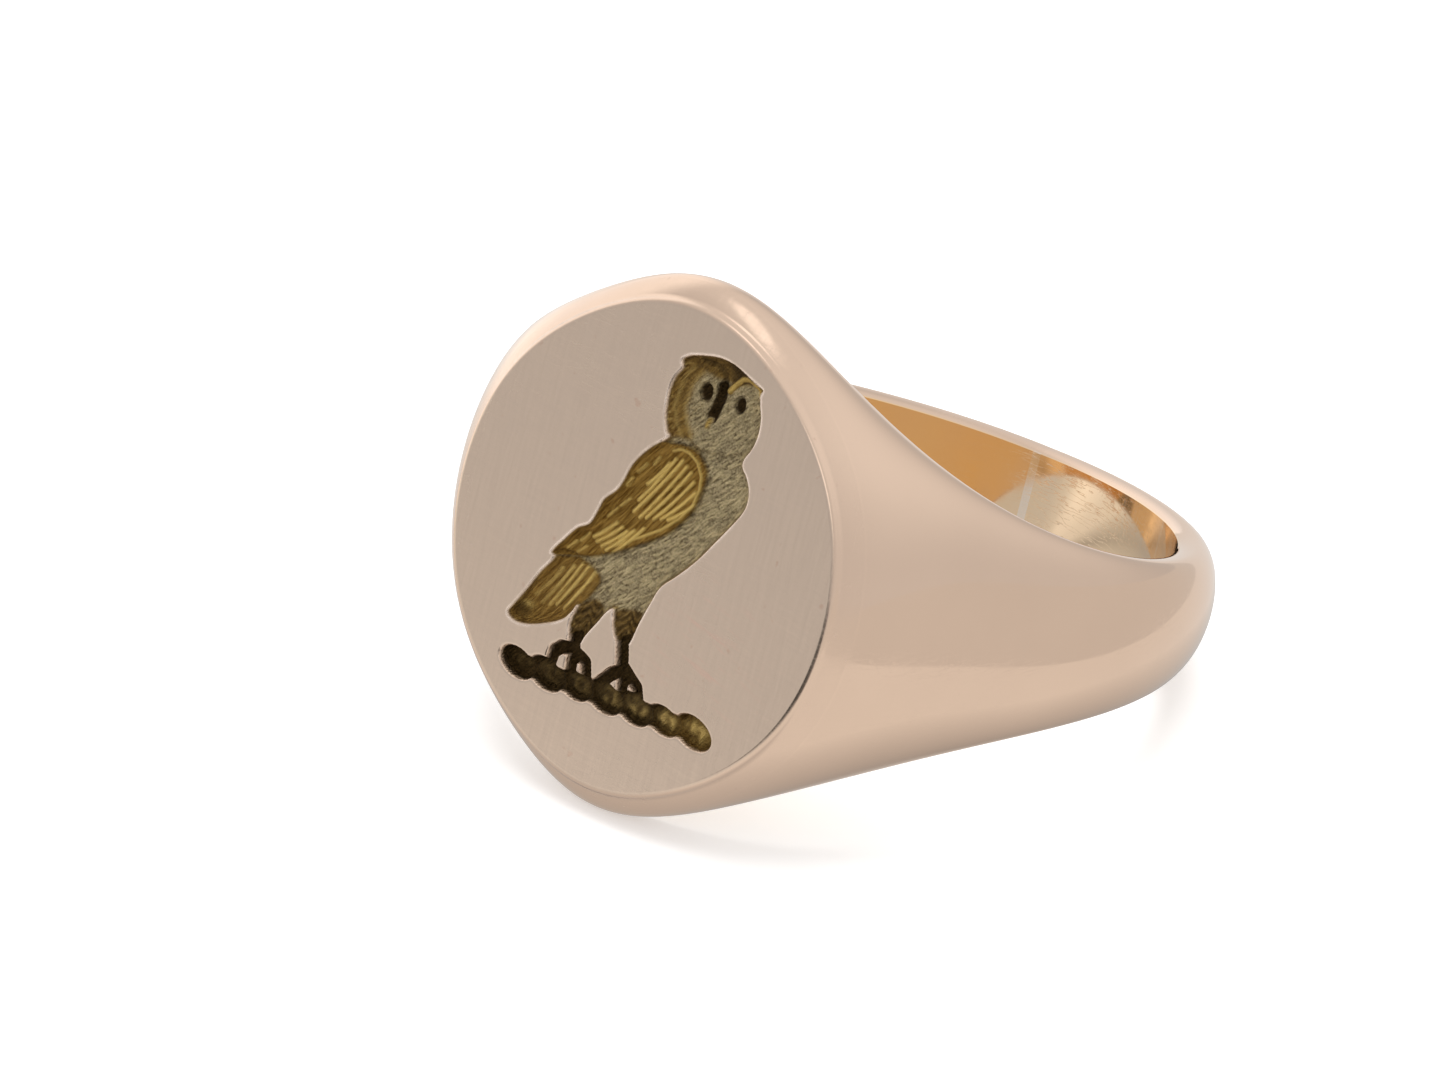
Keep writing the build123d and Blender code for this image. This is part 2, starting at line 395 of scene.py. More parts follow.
def eye_rays(random, x, z):
    """Short strokes that radiate round an eye, each turned a little at random."""
    rays = []
    for k in range(EYE_RAYS):
        angle = 2 * math.pi * k / EYE_RAYS + random.uniform(-0.08, 0.08)
        c, s = math.cos(angle), math.sin(angle)
        rays.append([(x + 0.33 * c, z + 0.36 * s), (x + 0.62 * c, z + 0.66 * s)])
    return rays


def down_strokes(random, loop):
    """Short seeded strokes scattered inside a loop, for down and small feathers."""
    low, high = loop.min(0), loop.max(0)
    strokes = []
    while len(strokes) < DOWN_COUNT:
        x, z = random.uniform(low, high)
        if depth_inside(np.array([x]), np.array([z]), loop)[0] < 0.12:
            continue
        angle = math.radians(DOWN_LEAN + random.uniform(-DOWN_SPREAD, DOWN_SPREAD))
        reach = DOWN_LENGTH * random.uniform(0.6, 1.2) / 2
        dx, dz = reach * math.cos(angle), reach * math.sin(angle)
        strokes.append([(x - dx, z - dz), (x + dx, z + dz)])
    return strokes


def carve_head(px, pz, depth, owl, in_owl, random):
    """Head: a bowl with a facial disc, eyes, beak, brows, crown band and neck fold."""
    inside = step(pz - 3.28 + 0.10 * np.abs(px - 1.3), 0.0, 0.2) * in_owl
    depth = depth + 0.07 * inside * oval(px, pz, 1.3, 4.6, 1.2, 1.1)
    eyes = np.zeros(px.shape)
    rays = np.zeros(px.shape)
    for x, z, wide, tall in EYES:
        away = np.hypot((px - x) / wide, (pz - z) / tall)
        eyes = np.maximum(eyes, 1 - step(away, 0.75, 1.3))
        depth = depth - 0.035 * inside * bell(away - 2.0, 0.4)
        rays = np.maximum(rays, stroke_field(px, pz, eye_rays(random, x, z), 0.05))
    beak = stroke_field(px, pz, [BEAK], 0.20)
    tip = stroke_field(px, pz, [BEAK_TIP], 0.11)
    right_brow = stroke_field(px, pz, [RIGHT_BROW], 0.12)
    left_brow = stroke_field(px, pz, [LEFT_BROW], 0.14)
    disc = stroke_field(px, pz, [DISC_EDGE], 0.26)
    peak = 0.25 * np.clip(1.35 - np.abs(px - 1.35), 0, 1)
    crown = step(pz - 5.24 - 0.1 * px + peak, 0.0, 0.2) * in_owl
    relief = 0.02 * rays + 0.1 * eyes + 0.1 * beak + 0.05 * left_brow - 0.12 * right_brow
    depth = depth + inside * relief
    depth = depth - (0.05 * tip + 0.05 * disc * inside)
    depth = depth + 0.06 * stroke_field(px, pz, [CHIN], 0.1) * in_owl
    features = np.maximum.reduce([
        eyes, step(beak, 0.0, 0.25), step(disc, 0.0, 0.35), crown,
        step(left_brow, 0.0, 0.3), step(right_brow, 0.0, 0.3),
    ])
    return depth, SimpleNamespace(
        inside=inside, eyes=eyes, rays=rays, tip=tip, disc=disc, crown=crown, features=features,
        left_brow=left_brow, right_brow=right_brow,
        beak=step(beak, 0.1, 0.5) * (1 - step(tip, 0.0, 0.3)),
        rim=inside * step(1.0 - px, 0.0, 0.4) * (1 - step(owl, 0.3, 0.45)),
        band=bell(disc - 0.72, 0.2) * inside * (1 - crown),
    )


def carve_feathers(px, pz, depth, in_owl):
    """Wing and tail: a little shallower, with a cut line round them and long feathers."""
    wing = depth_inside(px, pz, smooth_loop(WING))
    tail = depth_inside(px, pz, smooth_loop(TAIL))
    on_wing = step(wing, -0.03, 0.05) * in_owl
    on_tail = step(tail, -0.03, 0.05) * in_owl * (1 - on_wing)
    edge = np.maximum(bell(wing, 0.05), 0.8 * bell(tail, 0.05)) * in_owl
    depth = depth + (0.05 * edge - 0.06 * on_wing - 0.03 * on_tail)
    long_feathers = fan(WING_TOPS, WING_LOWS, 0.05) + fan(SECOND_TOPS, SECOND_LOWS, 0.03)
    lines = stroke_field(px, pz, long_feathers, 0.075)
    lines = np.maximum(lines, 0.75 * stroke_field(px, pz, [WING_RIM], 0.06))
    lines = np.maximum(lines, 0.6 * stroke_field(px, pz, COVERT_MARKS, 0.06)) * on_wing
    tail_lines = stroke_field(px, pz, fan(TAIL_TOPS, TAIL_LOWS, 0.04), 0.075)
    tail_light = 0.35 + 0.65 * step(px, -3.1, -1.9)
    lines = np.maximum(lines, tail_lines * on_tail * tail_light)
    lines = np.maximum(lines, 0.6 * oval(px, pz, -3.32, -2.8, 0.13, 0.12))
    return depth - 0.06 * lines, SimpleNamespace(wing=on_wing, tail=on_tail, edge=edge, lines=lines)


def carve_down(px, pz, depth, owl, strokes, bare):
    """Down on the breast and belly: short strokes where the bare mask allows them."""
    down = stroke_field(px, pz, strokes, DOWN_WIDTH) * bare
    return depth - 0.03 * down * step(owl, 0.08, 0.2), down


def carve_legs(px, pz, depth, plain):
    """Banded thighs, then shins and toes."""
    left = depth_inside(px, pz, smooth_loop(LEFT_THIGH))
    right = depth_inside(px, pz, smooth_loop(RIGHT_THIGH))
    thigh = step(np.maximum(left, right), -0.05, 0.1) * plain
    bands = 0.5 + 0.5 * np.cos((pz + 0.25 * np.abs(np.sin(7 * px))) * 2 * math.pi / 0.27)
    depth = depth + 0.04 * bands * thigh
    limbs = np.maximum(stroke_field(px, pz, SHINS, 0.24), stroke_field(px, pz, TOES, 0.215))
    depth = np.maximum(depth, 0.28 * step(limbs, 0.0, 0.7))
    return depth, SimpleNamespace(thigh=thigh, bands=bands, cut=step(limbs, 0.08, 0.45))


def carve_torse(px, pz, depth):
    """Torse: a twisted roll of overlapping leaning lobes, each with a swirl."""
    start, end = np.array(TORSE_START), np.array(TORSE_END)
    along = (end - start) / (TORSE_LOBES - 1)
    torse = 0.8 * step(stroke_field(px, pz, [[tuple(start), tuple(end)]], 0.34), 0.0, 0.8)
    nearest = np.full(px.shape, 9.0)
    lean = math.radians(TORSE_LEAN)
    for k in range(TORSE_LOBES):
        x, z = start + along * k
        u = (px - x) * math.cos(lean) + (pz - z) * math.sin(lean)
        v = -(px - x) * math.sin(lean) + (pz - z) * math.cos(lean)
        swell = 1 + 0.07 * math.sin(2.3 * k)
        away = np.sqrt((u / (TORSE_LENGTH * swell)) ** 2 + (v / (TORSE_BREADTH * swell)) ** 2)
        torse = np.maximum(torse, 1 - step(away, 0.75, 1.0))
        nearest = np.minimum(nearest, away)
    wander = 2.6 * np.sin(4.3 * px + 3.0 * pz) + 1.5 * np.sin(10.0 * px - 7.0 * pz)
    swirl = bell(nearest - 0.3, 0.3) * (0.6 + 0.4 * np.sin(wander))
    swirl = swirl * step(torse, 0.5, 1.0)
    depth = np.maximum(depth, 0.31 * torse - 0.06 * swirl)
    return depth, SimpleNamespace(cut=step(torse, 0.05, 0.4), swirl=swirl)


def engrave(px, pz):
    """Depth of the crest below the face and the masks that tone it."""
    random = np.random.default_rng(CREST_SEED)
    owl_loop = smooth_loop(OWL)
    owl = depth_inside(px, pz, owl_loop)
    in_owl = step(owl, 0.0, 0.05)
    depth = ENGRAVE_DEPTH * (1 - np.exp(-((np.clip(owl, 0, None) / WALL_RUN) ** 1.15)))
    depth, head = carve_head(px, pz, depth, owl, in_owl, random)
    depth, feathers = carve_feathers(px, pz, depth, in_owl)
    plain = in_owl * (1 - feathers.wing) * (1 - feathers.tail)
    bare = plain * (1 - head.features * head.inside)
    depth, down = carve_down(px, pz, depth, owl, down_strokes(random, owl_loop), bare)
    depth, legs = carve_legs(px, pz, depth, plain)
    depth, torse = carve_torse(px, pz, depth)

    # band on the cut's sloping wall, just inside the crest's outline; its share of the darkening below is
    # painted shade
    wall = (1 - step(owl, 0.02, 0.16)) * in_owl
    brow = step(head.right_brow, 0.4, 0.9)
    bright_end = step(px, 1.3, 2.8)
    gild = np.maximum.reduce([
        feathers.wing, 0.95 * feathers.tail, 0.9 * head.crown, 0.9 * head.disc * head.inside,
        0.9 * head.rim, head.tip, 0.8 * legs.thigh, 0.7 * wall, legs.cut, torse.cut,
        step(head.right_brow, 0.1, 0.5),
    ])
    # darkening: oxidised patina in the crest's hollows and marks, plus painted shade on the cut's sloping
    # wall (the 0.35 * wall share)
    dark = np.maximum.reduce([
        0.98 * legs.cut, (0.97 - 0.42 * bright_end) * torse.cut, head.eyes * head.inside, head.beak,
        0.7 * step(head.left_brow, 0.2, 0.8), 0.85 * head.crown * step(px, 0.9, 1.6),
        0.35 * head.crown, 0.2 * head.rim, 0.55 * legs.thigh * legs.bands + 0.2 * legs.thigh,
        0.45 * feathers.edge, 0.35 * wall, 0.7 * feathers.tail * oval(px, pz, -3.5, -2.95, 0.25, 0.3),
    ])
    glint = np.maximum.reduce([
        feathers.lines, 0.7 * down * (1 - legs.thigh), 0.7 * brow, 0.5 * head.tip, 0.3 * head.band,
        torse.swirl * torse.cut * (0.12 + 0.88 * step(px, -1.8, 2.6)),
        0.25 * head.rays * head.inside * (1 - head.features),
    ])
    return depth, {
        "cut": np.clip(np.maximum.reduce([in_owl, legs.cut, torse.cut]), 0, 1),
        "gild": gild,
        "dark": dark * (1 - 0.85 * brow),
        "glint": glint,
        # painted highlight: a thin pale line along the crest's cut edge
        "rim_glint": bell(owl + 0.02, 0.03) * (1 - legs.cut) * (1 - torse.cut),
    }


# ---- table: wall, eased face edge, engraved face -----------------------------------
TABLE_DIRECTIONS = 480
WALL_ROWS = 9
EDGE_ROUND = 0.18
GRID = 0.033
GRID_LOW = (-4.4, -5.3)
GRID_HIGH = (4.2, 6.3)
TOUCHED_DEPTH = 0.002
TOUCHED_MASK = 0.02


def cut_outline(distance, directions):
    """Radius of the ring's outline on a flat cut, by direction in the face plane."""
    cx, cz = np.cos(directions), np.sin(directions)

    def inside(r):
        x, z = r * cx, r * cz
        angle = np.degrees(np.arctan2(x, distance))
        out = (np.hypot(x, distance) - CREST_RADIUS) / (outer_radius(angle) - CREST_RADIUS)
        return out**2 + (z / half_width(angle)) ** 2 < 1

    return bisect(np.full(cx.shape, 0.5), np.full(cx.shape, 12.0), inside)


def loop_points(radii, distance, directions):
    """Loop in the working frame from radii on a flat cut."""
    x, z = radii * np.cos(directions), radii * np.sin(directions)
    return np.stack([x, np.full(radii.shape, -distance), z], 1)


def wall_loops(levels):
    """Loops of the ring's outline at several distances from the bore axis."""
    directions = np.linspace(0, 2 * math.pi, TABLE_DIRECTIONS, endpoint=False)
    return directions, [loop_points(cut_outline(level, directions), level, directions) for level in levels]


def skin(rows):
    """Quads between successive loops of the table's directions."""
    faces = []
    for i in range(rows - 1):
        low, high = i * TABLE_DIRECTIONS, (i + 1) * TABLE_DIRECTIONS
        for j in range(TABLE_DIRECTIONS):
            k = (j + 1) % TABLE_DIRECTIONS
            faces.append((low + j, low + k, high + k, high + j))
    return faces


def table_edge():
    """Underside, wall and eased face edge of the table, as points, faces and the last loop."""
    levels = np.linspace(TABLE_FLOOR, FACE_DISTANCE - EDGE_ROUND, WALL_ROWS)
    directions, loops = wall_loops(levels)
    brim = np.hypot(loops[-1][:, 0], loops[-1][:, 2])
    for turn in np.radians([22.5, 45, 67.5, 90]):
        inset = brim - EDGE_ROUND * (1 - math.cos(turn))
        loops.append(loop_points(inset, FACE_DISTANCE - EDGE_ROUND * (1 - math.sin(turn)), directions))
    for margin in (0.02, 0.05):
        loops.append(loop_points(brim - EDGE_ROUND - margin, FACE_DISTANCE, directions))
    faces = skin(len(loops))
    faces.append(tuple(reversed(range(TABLE_DIRECTIONS))))
    first = (len(loops) - 1) * TABLE_DIRECTIONS
    last_loop = [(first + j, first + (j + 1) % TABLE_DIRECTIONS) for j in range(TABLE_DIRECTIONS)]
    return np.concatenate(loops), faces, last_loop


def widened(mask, times):
    """A mask grown by one grid place on every side, a number of times."""
    for _ in range(times):
        wide = mask.copy()
        wide[1:] |= mask[:-1]
        wide[:-1] |= mask[1:]
        wide[:, 1:] |= mask[:, :-1]
        wide[:, :-1] |= mask[:, 1:]
        mask = wide
    return mask


def cell_corners(cell, shape):
    """Grid places that are a corner of at least one of the cells."""
    used = np.zeros(shape, bool)
    for di in (0, 1):
        for dj in (0, 1):
            used[di : di + cell.shape[0], dj : dj + cell.shape[1]] |= cell
    return used


def cell_border(cell, index):
    """Edges between the crest's cells and the flat part of the face."""
    padded = np.pad(cell, 1)
    border = []
    for i, j in np.argwhere(cell).tolist():
        if not padded[i + 1, j]:
            border.append((index[i, j], index[i + 1, j]))
        if not padded[i + 1, j + 2]:
            border.append((index[i, j + 1], index[i + 1, j + 1]))
        if not padded[i, j + 1]:
            border.append((index[i, j], index[i, j + 1]))
        if not padded[i + 2, j + 1]:
            border.append((index[i + 1, j], index[i + 1, j + 1]))
    return [(int(a), int(b)) for a, b in border]


def flat_part(points, edges, cell):
    """Triangles of the face between the crest's cells and the eased edge."""
    names = sorted({i for edge in edges for i in edge})
    local = {name: k for k, name in enumerate(names)}
    flat = [Vector((points[i][0], points[i][2])) for i in names]
    result = geometry.delaunay_2d_cdt(flat, [(local[a], local[b]) for a, b in edges], [], 0, 1e-7)
    verts, triangles, origin = result[0], result[2], result[3]
    faces = []
    for triangle in triangles:
        x = sum(verts[v].x for v in triangle) / 3
        z = sum(verts[v].y for v in triangle) / 3
        i = int(math.floor((x - GRID_LOW[0]) / GRID))
        j = int(math.floor((z - GRID_LOW[1]) / GRID))
        if 0 <= i < cell.shape[0] and 0 <= j < cell.shape[1] and cell[i, j]:
            continue
        faces.append(tuple(names[origin[v][0]] for v in triangle))
    return faces


def table_mesh():
    """Signet table with the crest cut into its face."""
    points, faces, last_loop = table_edge()
    xs = np.arange(GRID_LOW[0], GRID_HIGH[0], GRID)
    zs = np.arange(GRID_LOW[1], GRID_HIGH[1], GRID)
    px, pz = np.meshgrid(xs, zs, indexing="ij")
    depth, masks = engrave(px, pz)
    touched = (depth > TOUCHED_DEPTH) | (masks["cut"] > TOUCHED_MASK) | (masks["rim_glint"] > TOUCHED_MASK)
    grown = widened(touched, 3)
    cell = grown[:-1, :-1] | grown[1:, :-1] | grown[:-1, 1:] | grown[1:, 1:]
    used = cell_corners(cell, px.shape)
    index = np.full(px.shape, -1)
    index[used] = np.arange(used.sum()) + len(points)
    grid_points = np.stack([px[used], -FACE_DISTANCE + depth[used] * grown[used], pz[used]], 1)
    ci, cj = np.nonzero(cell)
    quads = np.stack([index[ci, cj], index[ci + 1, cj], index[ci + 1, cj + 1], index[ci, cj + 1]], 1)
    faces += [tuple(quad) for quad in quads.tolist()]
    points = np.concatenate([points, grid_points])
    faces += flat_part(points, last_loop + cell_border(cell, index), cell)

    piece = make_mesh("engraved_table", points, faces, TABLE_SHARP_DEGREES)
    face_outwards(piece)
    for name, values in masks.items():
        data = np.zeros(len(points))
        data[index[used]] = values[used]
        add_values(piece, name, data)
    place = piece.data.attributes.new("place", "FLOAT_VECTOR", "POINT")
    place.data.foreach_set("vector", points[:, (0, 2, 1)].ravel())
    return piece


def solder_mesh():
    """Thin solder layer between the table and the body."""
    loops = wall_loops([SOLDER_FLOOR, TABLE_FLOOR])[1]
    faces = skin(2)
    faces.append(tuple(reversed(range(TABLE_DIRECTIONS))))
    faces.append(tuple(range(TABLE_DIRECTIONS, 2 * TABLE_DIRECTIONS)))
    return make_mesh("table_seam", np.concatenate(loops), faces)


# ---- materials ----------------------------------------------------------------------
GOLD = (0.85, 0.635, 0.49)
FACE_TONE = (0.765, 0.605, 0.482)
# painted reflection: warm orange of the hoop mirrored in itself, painted on the bore, deeper towards -X and
# paler towards +X
BORE_REFLECTION_WARM = (0.95, 0.655, 0.345)
BORE_REFLECTION_PALE = (0.92, 0.70, 0.475)
SEAM_TONE = (0.93, 0.80, 0.66)
SCUFF_PLACE = (2.9, -1.9)  # x and z on the face, millimetres
SCUFF_TONE = (0.83, 0.56, 0.45)
SPECK_TONE = (0.66, 0.44, 0.33)
# painted highlight along the crest's cut edge
RIM_GLINT_TONE = (0.92, 0.76, 0.66)
DOWN_TONES = ((0.12, 0.09, 0.045), (0.74, 0.60, 0.36))
DOWN_GLINT = (0.90, 0.74, 0.42)
FEATHER_TONES = ((0.19, 0.10, 0.018), (0.46, 0.275, 0.07))
FEATHER_GLINT = (0.86, 0.62, 0.20)
HOLLOW_TONES = ((0.018, 0.011, 0.005), (0.085, 0.052, 0.02))
HOLLOW_GLINT = (0.52, 0.36, 0.13)


class Nodes:
    """Small helper that builds a material's node tree."""

    def __init__(self, name):
        self.material = bpy.data.materials.new(name)
        self.material.use_nodes = True
        self.tree = self.material.node_tree
        self.shader = self.tree.nodes["Principled BSDF"]
        self.place = self.add("ShaderNodeTexCoord").outputs["Object"]

    def add(self, kind, **values):
        node = self.tree.nodes.new(kind)
        for key, value in values.items():
            setattr(node, key, value)
        return node

    def link(self, a, b):
        self.tree.links.new(a, b)

    def mapping(self, scale, turn=(0, 0, 0)):
        node = self.add("ShaderNodeMapping")
        node.inputs["Scale"].default_value = scale
        node.inputs["Rotation"].default_value = turn
        self.link(self.place, node.inputs["Vector"])
        return node.outputs["Vector"]

    def noise(self, scale, detail=2.0, vector=None, roughness=0.5):
        node = self.add("ShaderNodeTexNoise")
        node.inputs["Scale"].default_value = scale
        node.inputs["Detail"].default_value = detail
        node.inputs["Roughness"].default_value = roughness
        self.link(vector or self.place, node.inputs["Vector"])
        return node.outputs["Fac"]

    def remap(self, source, low, high, to_low, to_high):
        node = self.add("ShaderNodeMapRange")
        for key, value in zip(("From Min", "From Max", "To Min", "To Max"), (low, high, to_low, to_high)):
            node.inputs[key].default_value = value
        self.link(source, node.inputs["Value"])
        return node.outputs["Result"]

    def mix(self, factor, a, b):
        node = self.add("ShaderNodeMix", data_type="RGBA")
        self.link(factor, node.inputs["Factor"])
        for value, socket in ((a, node.inputs["A"]), (b, node.inputs["B"])):
            if isinstance(value, tuple):
                socket.default_value = (*value, 1)
            else:
                self.link(value, socket)
        return node.outputs["Result"]

    def math(self, operation, a, b):
        node = self.add("ShaderNodeMath", operation=operation)
        for value, socket in ((a, node.inputs[0]), (b, node.inputs[1])):
            if isinstance(value, (int, float)):
                socket.default_value = value
            else:
                self.link(value, socket)
        return node.outputs[0]

    def attribute(self, name):
        return self.add("ShaderNodeAttribute", attribute_name=name).outputs["Fac"]

    def bump(self, height, distance, strength=1.0, normal=None):
        node = self.add("ShaderNodeBump")
        node.inputs["Strength"].default_value = strength
        node.inputs["Distance"].default_value = distance
        self.link(height, node.inputs["Height"])
        if normal:
            self.link(normal, node.inputs["Normal"])
        return node.outputs["Normal"]


def scaled(colour, factor):
    return tuple(min(1.0, c * factor) for c in colour)


def scratches(kit, scale, stretch, turn, width):
    """Sparse hairline marks: thin bands of a stretched noise."""
    vector = kit.mapping(stretch, turn)
    field = kit.noise(scale, 3, vector)
    away = kit.math("ABSOLUTE", kit.math("SUBTRACT", field, 0.5), 0.0)
    line = kit.remap(away, 0.0, width, 1.0, 0.0)
    patch = kit.remap(kit.noise(scale * 0.18, 1), 0.5, 0.64, 0.0, 1.0)
    return kit.math("MULTIPLY", line, patch)


def polished_gold(name, colour=GOLD, rough=(0.035, 0.09), relief=1.0, bore=(BORE_REFLECTION_WARM, BORE_REFLECTION_PALE)):
    """Polished rose gold with hairlines, soft waviness and two tones across the bore; the default bore tones
    are painted reflection, the warm colour of the hoop mirrored in itself.
    """
    kit = Nodes(name)
    tone = kit.remap(kit.noise(260, 3), 0.3, 0.7, 0.0, 1.0)
    base = kit.mix(tone, scaled(colour, 0.975), scaled(colour, 1.02))
    marks = kit.math(
        "ADD",
        scratches(kit, 900, (1, 1, 7), (0.3, 0.2, 0.5), 0.012),
        scratches(kit, 1200, (6, 1, 1), (0.1, 0.6, 1.1), 0.010),
    )
    base = kit.mix(kit.math("MULTIPLY", marks, 0.12), base, scaled(colour, 1.08))
    # bore colour: with the default tones a painted reflection, warmer towards -X and paler towards +X, in
    # soft patches
    if bore:
        patch = kit.remap(kit.noise(330, 2), 0.42, 0.58, 0.8, 1.0)
        split = kit.add("ShaderNodeSeparateXYZ")
        kit.link(kit.place, split.inputs[0])
        across = kit.remap(split.outputs["X"], -0.0035, 0.0006, 0.0, 1.0)
        inside = kit.mix(across, bore[0], bore[1])
        base = kit.mix(kit.math("MULTIPLY", kit.attribute("bore"), patch), base, inside)
    kit.link(base, kit.shader.inputs["Base Color"])
    polish = kit.remap(kit.noise(1500, 4), 0.35, 0.65, rough[0], rough[1])
    kit.link(kit.math("ADD", polish, kit.math("MULTIPLY", marks, 0.08)), kit.shader.inputs["Roughness"])
    kit.shader.inputs["Metallic"].default_value = 1.0
    wave = kit.bump(kit.noise(170, 1), 0.00001, 0.25 * relief)
    kit.link(kit.bump(marks, 0.000002, 0.35 * relief, wave), kit.shader.inputs["Normal"])
    return kit


def turned_noise(kit, place, degrees, stretch, scale, detail=2):
    """Noise drawn out along a direction on the face."""
    node = kit.add("ShaderNodeMapping")
    node.vector_type = "TEXTURE"
    node.inputs["Rotation"].default_value = (0, 0, math.radians(degrees))
    node.inputs["Scale"].default_value = (stretch, 1, 1)
    kit.link(place, node.inputs["Vector"])
    return kit.noise(scale, detail, node.outputs["Vector"], 0.6)


def lapped_face(kit, place, plain):
    """Face colour, with upright brushing and warm scuffs low on the right, and its brushing."""
    split = kit.add("ShaderNodeSeparateXYZ")
    kit.link(place, split.inputs[0])
    flat = kit.remap(split.outputs["Z"], 0.02 - FACE_DISTANCE, 0.002 - FACE_DISTANCE, 0.0, 1.0)
    plain = kit.mix(flat, plain, FACE_TONE)
    brush = kit.remap(turned_noise(kit, place, 88, 14, 9), 0.3, 0.7, 0.0, 1.0)
    cross = kit.remap(turned_noise(kit, place, -6, 10, 7), 0.3, 0.7, 0.0, 1.0)
    brushed = kit.math("MULTIPLY", brush, kit.math("MULTIPLY", flat, 0.6))
    plain = kit.mix(brushed, plain, scaled(FACE_TONE, 0.94))
    corner = kit.add("ShaderNodeVectorMath", operation="DISTANCE")
    kit.link(place, corner.inputs[0])
    corner.inputs[1].default_value = (*SCUFF_PLACE, -FACE_DISTANCE)
    near = kit.remap(corner.outputs["Value"], 0.6, 2.6, 1.0, 0.0)
    scuff = kit.remap(turned_noise(kit, place, -14, 7, 5, 4), 0.54, 0.68, 0.0, 1.0)
    scuffed = kit.math("MULTIPLY", kit.math("MULTIPLY", scuff, near), 0.5)
    plain = kit.mix(scuffed, plain, SCUFF_TONE)
    specks = kit.remap(kit.noise(2.2, 2, place), 0.70, 0.76, 0.0, 0.45)
    return kit.mix(specks, plain, SPECK_TONE), kit.math("ADD", brush, cross)


def crest_floor(kit, place, gild, dark, glint):
    """Crest colour: tool strokes over olive down, brown gold feathers and dark hollows, with painted glints
    on the strokes; the hollow tones carry oxidised patina and, on the cut's sloping wall, painted shade.
    """
    hair = kit.remap(turned_noise(kit, place, 44, 6, 15, 3), 0.36, 0.66, 0.0, 1.0)
    grit = kit.remap(kit.noise(16, 3, place, 0.7), 0.36, 0.66, 0.0, 1.0)
    speck = kit.math("MULTIPLY", kit.math("ADD", hair, grit), 0.5)
    down = kit.mix(speck, *DOWN_TONES)
    down = kit.mix(kit.math("MULTIPLY", glint, 0.6), down, DOWN_GLINT)
    barb = kit.remap(turned_noise(kit, place, 56, 9, 13, 2), 0.34, 0.66, 0.0, 1.0)
    feather = kit.mix(barb, *FEATHER_TONES)
    feather = kit.mix(glint, feather, FEATHER_GLINT)
    floor = kit.mix(gild, down, feather)
    patina_and_shade = kit.mix(speck, *HOLLOW_TONES)
    patina_and_shade = kit.mix(glint, patina_and_shade, HOLLOW_GLINT)
    return kit.mix(dark, floor, patina_and_shade), speck, barb


def table_gold():
    """Table: polished wall and lapped face, with the toned and textured crest."""
    kit = polished_gold("rose_gold_table", GOLD, (0.10, 0.17), 1.0, None)
    cut, gild, dark, glint, rim_glint = (kit.attribute(n) for n in ("cut", "gild", "dark", "glint", "rim_glint"))
    place = kit.add("ShaderNodeAttribute", attribute_name="place").outputs["Vector"]
    plain = kit.shader.inputs["Base Color"].links[0].from_socket
    plain, lapping = lapped_face(kit, place, plain)
    floor, speck, barb = crest_floor(kit, place, gild, dark, glint)
    base = kit.mix(cut, plain, floor)
    # painted highlight along the cut edge: pale and less metallic, patchy along its length
    rim_glint = kit.math("MULTIPLY", rim_glint, kit.remap(kit.noise(1.6, 2, place), 0.35, 0.6, 0.25, 0.95))
    base = kit.mix(kit.math("MULTIPLY", rim_glint, 0.65), base, RIM_GLINT_TONE)
    kit.link(base, kit.shader.inputs["Base Color"])
    kit.link(kit.remap(rim_glint, 0.0, 1.0, 1.0, 0.5), kit.shader.inputs["Metallic"])

    gloss = kit.shader.inputs["Roughness"].links[0].from_socket
    gloss = kit.math("ADD", gloss, kit.math("MULTIPLY", lapping, 0.05))
    rough = kit.remap(speck, 0.0, 1.0, 0.5, 0.32)
    node = kit.add("ShaderNodeMix", data_type="FLOAT")
    kit.link(cut, node.inputs["Factor"])
    kit.link(gloss, node.inputs["A"])
    kit.link(rough, node.inputs["B"])
    kit.link(node.outputs["Result"], kit.shader.inputs["Roughness"])
    smooth = kit.shader.inputs["Normal"].links[0].from_socket
    lapped = kit.bump(lapping, 0.0000012, 0.5, smooth)
    tool = kit.math("MULTIPLY", kit.math("ADD", speck, barb), cut)
    kit.link(kit.bump(tool, 0.00003, 0.9, lapped), kit.shader.inputs["Normal"])
    return kit.material


# ---- pieces -------------------------------------------------------------------------
insert_start = BACK_JOINT + JOINT_SOLDER
insert_end = SIDE_JOINT - JOINT_SOLDER
body = hoop_mesh("ring_hoop", body_angles(), SOLDER_FLOOR)
insert = hoop_mesh("sizing_insert", np.linspace(insert_start, insert_end, 48))
seam_back = hoop_mesh("sizing_seam_back", np.linspace(BACK_JOINT, insert_start, 4))
seam_side = hoop_mesh("sizing_seam_side", np.linspace(insert_end, SIDE_JOINT, 4))
table = table_mesh()
table_seam = solder_mesh()

body_gold = polished_gold("rose_gold_polished").material
insert_gold = polished_gold("rose_gold_insert", scaled(GOLD, 0.995)).material
solder_tones = (SEAM_TONE, SEAM_TONE)
solder_gold = polished_gold("gold_solder", scaled(GOLD, 1.01), (0.06, 0.12), 1.0, solder_tones).material
for piece, node, slot, material in (
    (body, "ring_body", "rose_gold", body_gold),
    (insert, "sizing_piece", "rose_gold", insert_gold),
    (table, "signet_table", "rose_gold", table_gold()),
    (table_seam, "table_solder", "hard_solder", solder_gold),
    (seam_back, "sizing_solder_back", "hard_solder", solder_gold),
    (seam_side, "sizing_solder_side", "hard_solder", solder_gold),
):
    piece.data.materials.append(material)
    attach(piece, "root")
    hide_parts(node)


